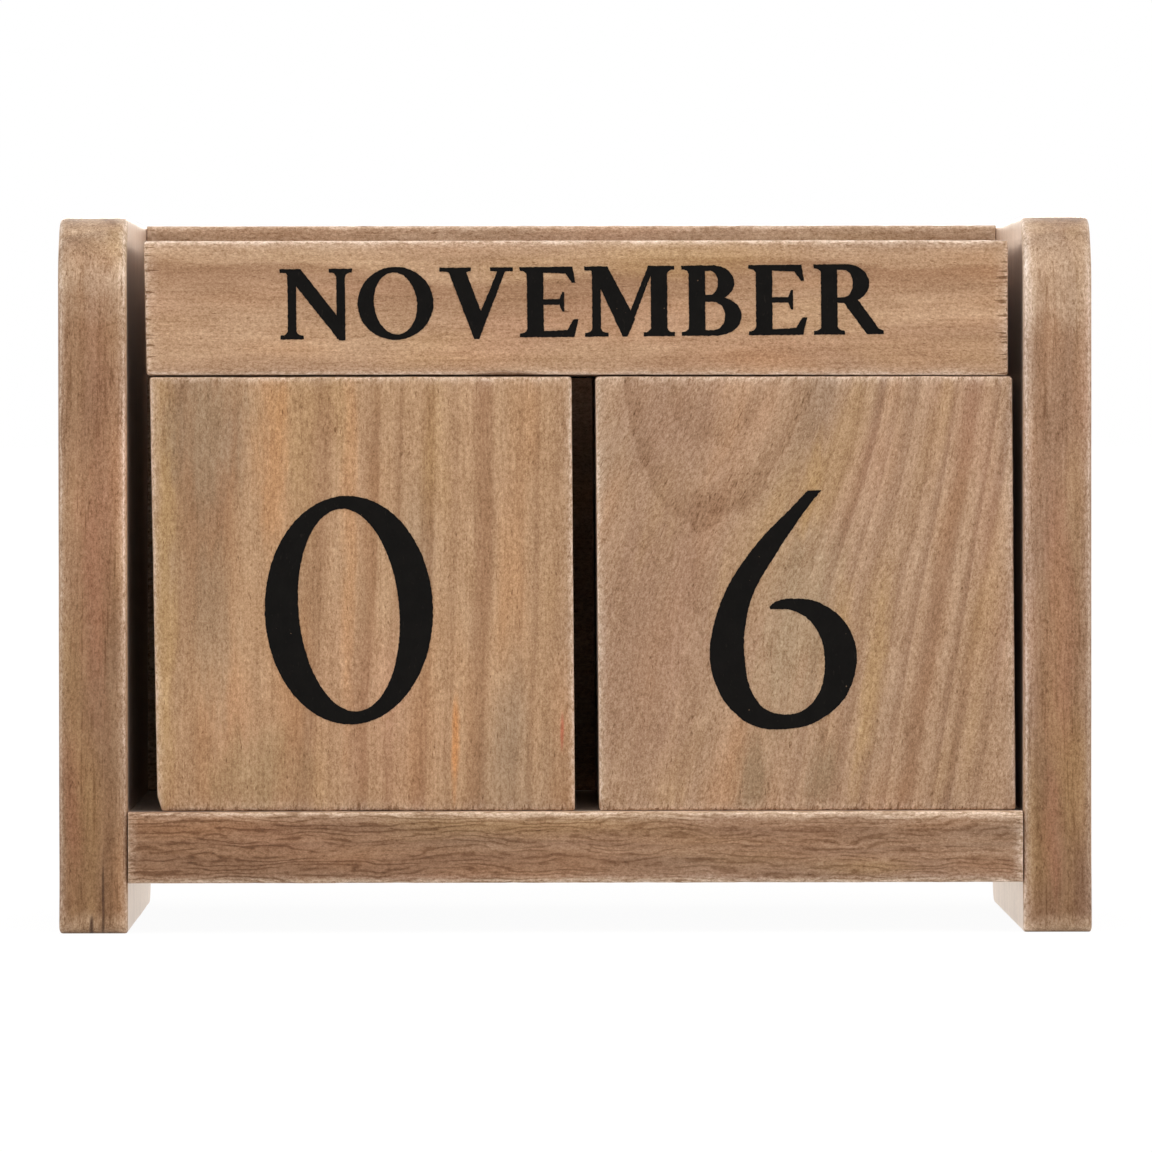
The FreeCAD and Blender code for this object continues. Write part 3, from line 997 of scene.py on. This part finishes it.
def merged(shapes):
    """Points and triangles of the ground that the shapes cover together, less their own holes."""
    points, outlines = [], []
    for outer, hole in shapes:
        for outline in (outer, hole):
            if outline is None:
                outlines.append([])
                continue
            ring = dense(outline)
            outlines.append(list(range(len(points), len(points) + len(ring))))
            points += [Vector(point) for point in ring]
    used = [index for index, outline in enumerate(outlines) if outline]
    made = delaunay_2d_cdt(points, [], [outlines[index] for index in used], 1, MERGE_REACH)
    triangles = []
    for face, sources in zip(made[2], made[5]):
        parts = {used[source] for source in sources}
        if any(part % 2 == 0 and part + 1 not in parts for part in parts):
            triangles.append(list(face))
    return np.array([tuple(point) for point in made[0]]), triangles


def ink_sheet(shapes, seed):
    """Points and triangles of one sign, with a slightly ragged outline."""
    flat, triangles = merged(shapes)
    keep = sorted({index for face in triangles for index in face})
    order = {old: new for new, old in enumerate(keep)}
    flat = flat[keep]
    tall = np.column_stack((flat, np.full(len(flat), seed * INK_SEED_SHIFT)))
    ragged = np.stack([field(tall, INK_RAGGED_PITCH, direction) for direction in (1, 2)], axis=1)
    return flat + ragged * INK_RAGGED, [[order[index] for index in face] for face in triangles]


def plate_faces(flat, triangles, base):
    """Faces of a closed plate: the sheet in front, the same behind, and walls along its outline."""
    behind = base + len(flat)
    faces = []
    edges = {}
    for face in triangles:
        area = np.cross(flat[face[1]] - flat[face[0]], flat[face[2]] - flat[face[0]])
        face = face if area > 0 else face[::-1]
        faces.append([base + index for index in face])
        faces.append([behind + index for index in face[::-1]])
        for pair in zip(face, (*face[1:], face[0])):
            edges[pair] = True
    for first, second in edges:
        if (second, first) not in edges:
            faces.append([base + second, base + first, behind + first, behind + second])
    return faces


def turned(outline, shift, scale, angle):
    """The outline moved along and centred in height, then scaled to millimetres, then turned."""
    cosine, sine = math.cos(angle) * scale, math.sin(angle) * scale
    moved = [(x + shift, y - HEIGHT / 2) for x, y in outline]
    return [(x * cosine - y * sine, x * sine + y * cosine) for x, y in moved]


def set_signs(signs, table, gap, height, angle=0.0):
    """The outlines of a row of letters or numbers about its own middle, in millimetres."""
    starts = [0.0]
    for sign in signs:
        starts.append(starts[-1] + table[sign][0] + gap)
    middle = (starts[-1] - gap) / 2
    rows = []
    for sign, start in zip(signs, starts):
        rows.append([
            tuple(outline and turned(outline, start - middle, height / HEIGHT, angle) for outline in shape)
            for shape in table[sign][1]
        ])
    return rows


def print_face(body, face, signs, across, above, ink, seed):
    """Prints signs on one face of a block, as plates of ink so far across and above the face's middle."""
    outward, up = (Vector(direction) for direction in FACES[face])
    right = up.cross(outward)
    low, high = node_box(body)
    reach = abs(outward.dot(Vector((high - low) / 2)))
    corner = Vector((low + high) / 2) + outward * reach + right * across + up * above
    places, faces = [], []
    for shapes in signs:
        flat, triangles = ink_sheet(shapes, seed)
        faces += plate_faces(flat, triangles, len(places))
        for rise in (INK_RISE, -INK_SINK):
            places += [corner + right * float(x) + up * float(y) + outward * rise for x, y in flat]
    points = np.array(places)
    if outward.x:
        skew(points, low, high, CUBE_SHIFTS[body])
    piece = new_object(body + "_ink_" + face, points, faces, ink)
    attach(piece, body)


def print_blocks(ink):
    """A number on each face of the cubes, and a month on each long face of the bars."""
    seed = 1
    for body, numbers in CUBE_NUMBERS.items():
        for face, (number, height, across, above) in numbers.items():
            print_face(body, face, set_signs(number, NUMBERS, 0, height), across, above, ink, seed)
            seed += 1
    for body, months in BAR_MONTHS.items():
        for face, (month, across, above, turn) in months.items():
            signs = set_signs(month, LETTERS, LETTER_GAP, CAP_HEIGHT, math.radians(turn))
            print_face(body, face, signs, across, above, ink, seed)
            seed += 1


# Camera, light and floor

def place_camera():
    """The photograph's viewpoint."""
    data = bpy.data.cameras.new("camera")
    data.lens = LENS
    data.sensor_width = SENSOR
    camera = bpy.data.objects.new("camera", data)
    level = Matrix.Rotation(CAMERA_YAW, 4, "Z") @ Matrix.Rotation(math.pi / 2 + CAMERA_PITCH, 4, "X")
    place = Matrix.Translation(Vector(CAMERA_PLACE) * MM)
    camera.matrix_world = place @ level @ Matrix.Rotation(CAMERA_ROLL, 4, "Z")
    bpy.context.scene.collection.objects.link(camera)
    bpy.context.scene.camera = camera


def soft_light(name, azimuth, elevation, distance, size, level):
    """A square soft light aimed at the object. Level is how bright it makes a white card that faces it."""
    data = bpy.data.lights.new(name, "AREA")
    data.shape = "SQUARE"
    data.size = size
    data.energy = level * (math.pi * distance) ** 2
    light = bpy.data.objects.new(name, data)
    turn, rise = math.radians(azimuth), math.radians(elevation)
    away = Vector((math.sin(turn) * math.cos(rise), -math.cos(turn) * math.cos(rise), math.sin(rise)))
    light.location = Vector(LIGHT_AIM) * MM + away * distance
    light.rotation_euler = away.to_track_quat("Z", "Y").to_euler()
    bpy.context.scene.collection.objects.link(light)


def seen_directly(graph):
    """One for the rays that show the background: from the camera, and through gloss and glass."""
    path = graph.node("ShaderNodeLightPath")
    seen = graph.math("MAXIMUM", path.outputs["Is Camera Ray"], path.outputs["Is Glossy Ray"])
    return graph.math("MAXIMUM", seen, path.outputs["Is Transmission Ray"])


def light_scene():
    """A white tent: soft lights above, behind and at both sides, and white all round."""
    for light in SOFT_LIGHTS:
        soft_light(*light)
    world = bpy.data.worlds.new("tent")
    bpy.context.scene.world = world
    world.use_nodes = True
    graph = Graph("tent", world)
    level = graph.step(seen_directly(graph), 0.0, 1.0, TENT_LEVEL, 1.0)
    background = graph.node("ShaderNodeBackground", Color=WHITE, Strength=level)
    graph.node("ShaderNodeOutputWorld", Surface=background.outputs[0])


def lay_floor():
    """A plain white floor that looks as white as the backdrop and keeps a faint shadow."""
    graph = Graph("floor")
    diffuse = graph.node("ShaderNodeBsdfDiffuse", Color=FLOOR_COLOUR)
    glow = graph.node("ShaderNodeEmission", Color=WHITE, Strength=FLOOR_BRIGHTNESS)
    away = graph.vector("LENGTH", graph.node("ShaderNodeTexCoord").outputs["Object"])
    share = graph.times(seen_directly(graph), graph.step(away, *FLOOR_FADE, FLOOR_GLOW, 1.0))
    paper = graph.finish(graph.mix_shaders(share, diffuse, glow))
    half = FLOOR_SIZE / 2
    corners = np.array([(-half, -half, 0), (half, -half, 0), (half, half, 0), (-half, half, 0)])
    floor = new_object("floor", corners, [(0, 1, 2, 3)], paper)


bpy.context.scene.view_settings.view_transform = "Standard"
place_camera()
light_scene()
lay_floor()

# How each piece was cut: grain, heart of the log, ring width and stain, and the light painted on some pieces
TENS = Timber(
    grain=(0.01, 0.01, 1), pith=(-52.4, -72, 40), ring=2.9, seed=1.0, contrast=0.62, bend=0.6, early=0.35,
    light=srgb(181, 144, 109), dark=srgb(144, 104, 72), arris=0.9,
    tone_ramps_and_painted_light=((0, -59, -30, 0.94, 1.02), (2, 18, 36, 0.93, 1.0)),
    torn=((2, 17.2, 1.2, 0.4, 1.7), (2, 77.4, 0.6, 0.3, 1.7)),
    tints=(
        ((-57.4, -35, 45), (2.4, 60, 60), YELLOW, 0.45),
        ((-51, -35, 70), (8.0, 60, 15), ASH, 0.55),
        ((-50.8, -35, 44), (4.5, 60, 20), ASH, 0.4),
        ((-41.8, -35, 68), (3.2, 60, 22), ORANGE, 0.35),
        ((-31.5, -35, 60), (1.6, 60, 40), ORANGE, 0.25),
        ((-45, -35, 22), (9.0, 60, 9), srgb(164, 136, 98), 0.5),
        ((-16.7, -35, 26), (0.8, 40, 10), srgb(198, 132, 74), 0.75),
        ((-1.9, -35, 28.4), (0.4, 20, 3.2), srgb(170, 80, 50), 0.8),
    ),
)
BRANCH = ((0.161, -0.375, 0.913), (23.5, -35.3, 97))
UNITS = Timber(
    grain=(0.16, 0.03, 0.987), pith=(-40, -15, 47), ring=3.1, seed=2.0, contrast=0.66, bend=0.8,
    light=srgb(177, 143, 113), dark=srgb(134, 97, 71), arris=0.9, speckle=1.1, streak=0.15, fibre=0.25,
    fade=(0, 24, 40, 0.1, 1.0), sweep=(42, 82, 30, 60, 7),
    torn=((2, 17.2, 1.5, 0.45, 1.7), (2, 77.4, 0.5, 0.25, 1.7)),
    cups=((*BRANCH, 15.0, 2.4, 0.2), (*BRANCH, 10.6, 2.0, 0.12)),
    tints=(
        ((13, -35, 72), (14, 60, 12), srgb(158, 122, 98), 0.55),
        ((10, -35, 40), (15, 60, 34), srgb(157, 121, 95), 0.7),
        ((31, -35, 42), (8, 60, 22), srgb(168, 144, 112), 0.5),
        ((33, -35, 62), (2.6, 60, 9), YELLOW, 0.4),
        ((36.5, -35, 40), (2.6, 60, 12), YELLOW, 0.4),
        ((41.5, -35, 35), (2.0, 60, 20), YELLOW, 0.35),
        ((24.6, -35, 21), (3.4, 60, 8), SMUDGE, 0.6),
        ((34.4, -35, 22), (2.6, 60, 9), SMUDGE, 0.5),
    ),
)
BARS = Timber(
    grain=(1, 0, 0), pith=(0, -90, 60), ring=4.2, seed=3.0, contrast=0.6, bend=2.4,
    light=srgb(184, 147, 114), dark=srgb(150, 110, 80), arris=1.0, streak=0.35, patch=0.4,
    torn=((0, -59.7, 2.2, 0.55, 2.6), (0, 60.3, 2.4, 0.6, 2.6)),
)
SHELF = Timber(
    grain=(1, 0.01, 0.0), pith=(0, -10, -30), ring=2.2, seed=4.0, contrast=0.5, bend=2.2,
    light=srgb(153, 117, 89), dark=srgb(112, 78, 55), vein=0.2, patch=0.38,
    tone_ramps_and_painted_light=((0, -62, 62, 0.92, 1.14),), waves=(-44, 5, 0.5, 0.75),
    # Painted highlights along the shelf's top and bottom front arrises
    tints=(((40, -37, 16.8), (1.2, 60, 120), PAINTED_LIGHT, 0.65), ((0, -37, 7.1), (0.8, 60, 500), PAINTED_LIGHT, 0.5)),
)
BACK = Timber(
    grain=(1, 0.02, 0.01), pith=(0, 90, 60), ring=3.4, seed=5.0, contrast=0.45, bend=2.0,
    light=srgb(174, 139, 110), dark=srgb(138, 102, 75), arris=0.6, speckle=1.1,
    # Painted highlight along the top of the back panel
    tints=(((0, 27, 100), (6, 20, 500), PAINTED_LIGHT, 0.3),),
)
LEFT_SIDE = Timber(
    grain=(0.01, 0.02, 1), pith=(-66, -60, 40), ring=3.2, seed=6.0, contrast=0.7, bend=1.4, arris=0.5,
    light=srgb(146, 110, 79), dark=srgb(110, 76, 52),
    speckle=1.15, streak=0.75, fibre=0.45, vein=0.4, patch=0.45,
    # Ramps: darker towards the foot; painted highlight on the rounded top and along the outer and inner
    # edges
    tone_ramps_and_painted_light=((2, 8, 50, 0.8, 1), (2, 84, 95, 1, 1.12), (0, -72, -70, 1.12, 1), (0, -64.5, -63, 1, 1.3)),
    tints=(
        # Painted highlight over and just below the rounded top corner
        ((-67, -37, 95), (20, 14, 12), PAINTED_LIGHT, 0.18),
        ((-67, -37, 100.5), (20, 14, 5.5), PAINTED_LIGHT, 0.52),
        ((-67, -37, 91.3), (20, 14, 3.2), PAINTED_LIGHT, 0.3),
        ((-67, -37, 86.8), (20, 14, 2.4), PAINTED_LIGHT, 0.1),
        # A darker band of the wood
        ((-67, -37, 33), (6, 20, 10), srgb(110, 76, 52), 0.3),
        # Painted light along the foot, then reddish streaks of the wood
        ((-67, -37, 0), (20, 14, 3.5), PAINTED_LIGHT, 0.5),
        ((-67, -37, 48), (3.0, 20, 26), RUST, 0.4),
        ((-70, -37, 18), (2.0, 20, 16), RUST, 0.4),
        # Painted light on the inner face, under the shelf and at the top
        ((-62.3, 0, 3.5), (0.9, 60, 6), PAINTED_LIGHT, 1.0),
        ((-62.3, 0, 98), (0.9, 60, 8), PAINTED_LIGHT, 0.8),
        # Cracks in the wood
        ((-65.8, -37, 5), (0.28, 20, 9), CRACK, 0.8),
        ((-67.4, -37, 0.8), (0.45, 20, 2.2), CRACK, 0.9),
    ),
)
RIGHT_SIDE = Timber(
    grain=(-0.01, 0.02, 1), pith=(68, -62, 40), ring=3.4, seed=7.0, contrast=0.6, bend=1.4, arris=0.5,
    light=srgb(151, 116, 89), dark=srgb(116, 82, 58),
    speckle=1.15, streak=0.65, fibre=0.45, vein=0.32, patch=0.45,
    # Ramps: darker towards the foot; painted highlight on the rounded top and along the outer and inner
    # edges
    tone_ramps_and_painted_light=((2, 8, 50, 0.86, 1), (2, 80, 92, 1, 1.06), (0, 72, 70, 1.2, 1), (0, 64.5, 63, 1, 1.42)),
    tints=(
        # Painted highlight over and just below the rounded top corner
        ((67, -37, 94), (20, 14, 12), PAINTED_LIGHT, 0.38),
        ((67, -37, 101), (20, 14, 3.5), PAINTED_LIGHT, 0.5),
        ((67, -37, 88), (20, 14, 4.5), PAINTED_LIGHT, 0.15),
        # A darker band of the wood
        ((67, -37, 51), (6, 20, 8), srgb(116, 82, 58), 0.25),
        # Painted light along the foot, then reddish streaks of the wood
        ((67, -37, 0), (20, 14, 3), PAINTED_LIGHT, 0.65),
        ((67.5, -37, 44), (3.2, 20, 26), RUST, 0.35),
        ((66.5, -37, 14), (2.0, 20, 14), RUST, 0.4),
        # Painted light on the inner face, under the shelf and at the top
        ((62.3, 0, 3.5), (0.9, 60, 6), PAINTED_LIGHT, 1.0),
        ((62.3, 0, 98), (0.9, 60, 8), PAINTED_LIGHT, 0.8),
    ),
)
DOWELS = Timber(
    grain=(1, 0, 0), pith=(0, 30, 30), ring=2.0, seed=8.0,
    light=srgb(200, 168, 128), dark=srgb(168, 130, 92),
)


def dress_frame():
    """The four boards, and the dowels in their joints."""
    side_piece("side_panel_left", wood("side_panel_left_finish", LEFT_SIDE), 1)
    side_piece("side_panel_right", wood("side_panel_right_finish", RIGHT_SIDE), 2)
    block_piece("shelf", "frame", wood("shelf_finish", SHELF), SHELF_ARRIS, 3)
    block_piece("back_panel", "frame", wood("back_panel_finish", BACK), BACK_ARRIS, 4)
    dowel = wood("dowel_finish", DOWELS)
    for joint in ("shelf", "back"):
        for side in ("left", "right"):
            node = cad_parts[joint + "_dowels_" + side]
            node.data.materials.clear()
            node.data.materials.append(dowel)


def dress_blocks():
    """The two cubes and the three bars."""
    finish = wood("tens_cube_finish", TENS)
    shifts = CUBE_SHIFTS["tens_cube"]
    block_piece("tens_cube", "tens_cube", finish, CUBE_ARRIS, 5, shifts, TENS_DENTS, TENS_EXTRA_LINES)
    finish = wood("units_cube_finish", UNITS)
    block_piece("units_cube", "units_cube", finish, CUBE_ARRIS, 6, CUBE_SHIFTS["units_cube"], UNITS_DENTS)
    finish = wood("month_bar_finish", BARS)
    block_piece("month_bar_front", "month_bar_front", finish, BAR_ARRIS, 7, BAR_SHIFTS, BAR_DENTS)
    block_piece("month_bar_middle", "month_bar_middle", finish, BAR_ARRIS, 8)
    block_piece("month_bar_rear", "month_bar_rear", finish, BAR_ARRIS, 9)


dress_frame()
dress_blocks()
print_blocks(ink_material())
